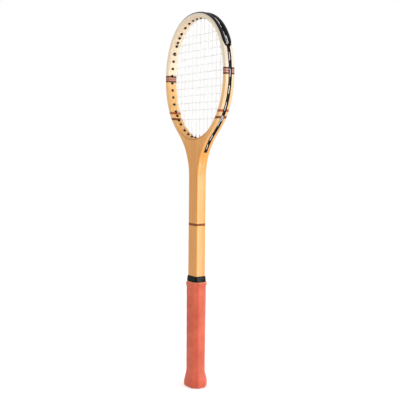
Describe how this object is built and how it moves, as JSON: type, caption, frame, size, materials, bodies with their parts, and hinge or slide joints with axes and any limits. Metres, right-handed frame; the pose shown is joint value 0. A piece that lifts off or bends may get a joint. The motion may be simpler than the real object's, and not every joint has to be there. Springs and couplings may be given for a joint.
{
  "type": "tennis training racket",
  "caption": "Laminated wooden tennis training racket with a small oval strung head, black head guard, octagonal leather grip and a sliding rubber collar.",
  "frame": {"origin": "centre of the flat butt end, at the bottom of the bounding box", "axes": "+Z from the butt end along the shaft to the tip of the head, X across the string face, front face of the strings looks along -Y"},
  "size_m": [0.1912, 0.0364, 0.6869],
  "materials": {
    "ash": "clear lacquered ash",
    "beech": "clear lacquered beech",
    "handle_wood": "bare planed wood",
    "black_plastic": "moulded black nylon, satin",
    "black_rubber": "smooth black rubber",
    "leather": "terracotta perforated leather",
    "nylon": "white nylon string",
    "steel": "nickelled"
  },
  "bodies": {
    "racket": {"hoop_outer_ply": "ash", "hoop_middle_ply": "beech", "hoop_inner_ply": "ash", "throat_wedge": "beech", "shaft_core": "beech", "pallet_front": "handle_wood", "pallet_back": "handle_wood", "pallet_left": "handle_wood", "pallet_right": "handle_wood", "butt_flare": "handle_wood", "butt_cap": "black_plastic", "grip_wrap": "leather", "grip_tack_lower": "steel", "grip_tack_upper": "steel", "butt_screw_front": "steel", "butt_screw_back": "steel", "grommet_strip_right": "black_plastic", "grommet_strip_left": "black_plastic", "throat_liner_1": "black_plastic", "throat_liner_2": "black_plastic", "throat_liner_3": "black_plastic", "throat_liner_4": "black_plastic", "head_guard": "black_plastic", "main_string": "nylon", "cross_string": "nylon"},
    "collar": {"grip_collar": "black_rubber"}
  },
  "joints": [
    {"name": "collar_slide", "type": "slide", "parent": "racket", "child": "collar", "axis": [0, 0, 1], "range_m": [0, 0.17]}
  ]
}
